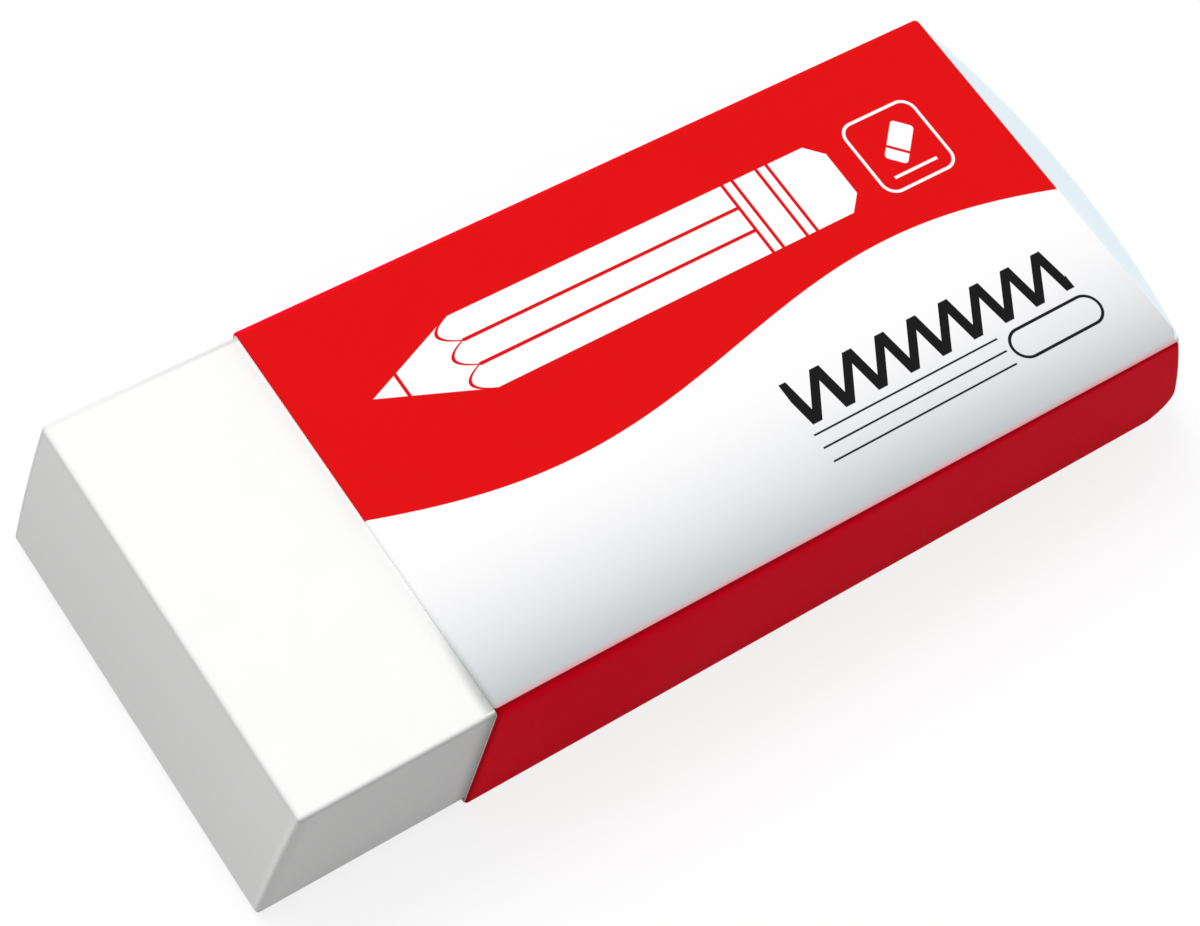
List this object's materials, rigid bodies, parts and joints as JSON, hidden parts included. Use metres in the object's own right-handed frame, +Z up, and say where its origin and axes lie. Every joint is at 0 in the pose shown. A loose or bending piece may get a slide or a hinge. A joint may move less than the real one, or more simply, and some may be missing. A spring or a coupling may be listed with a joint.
{
  "type": "sleeved rubber eraser",
  "caption": "Flat rectangular white vinyl eraser block, bare at its leaning front end, in a sliding folded card sleeve; the crowned back end stands just past the sleeve.",
  "frame": {"origin": "on the surface that the sleeve's bottom panel rests on, under the middle of the length and the width", "axes": "+X along the block from its bare end to its far end, +Y across it away from the near side, +Z up through the printed top panel"},
  "size_m": [0.0538, 0.021, 0.0095],
  "materials": {
    "vinyl": "matte",
    "printed_card": "satin"
  },
  "bodies": {
    "block": {"eraser_block": "vinyl"},
    "sleeve": {"sleeve": "printed_card"}
  },
  "joints": [
    {"name": "sleeve_slide", "type": "slide", "parent": "block", "child": "sleeve", "axis": [1, 0, 0], "range_m": [-0.0094, 0.044]}
  ]
}
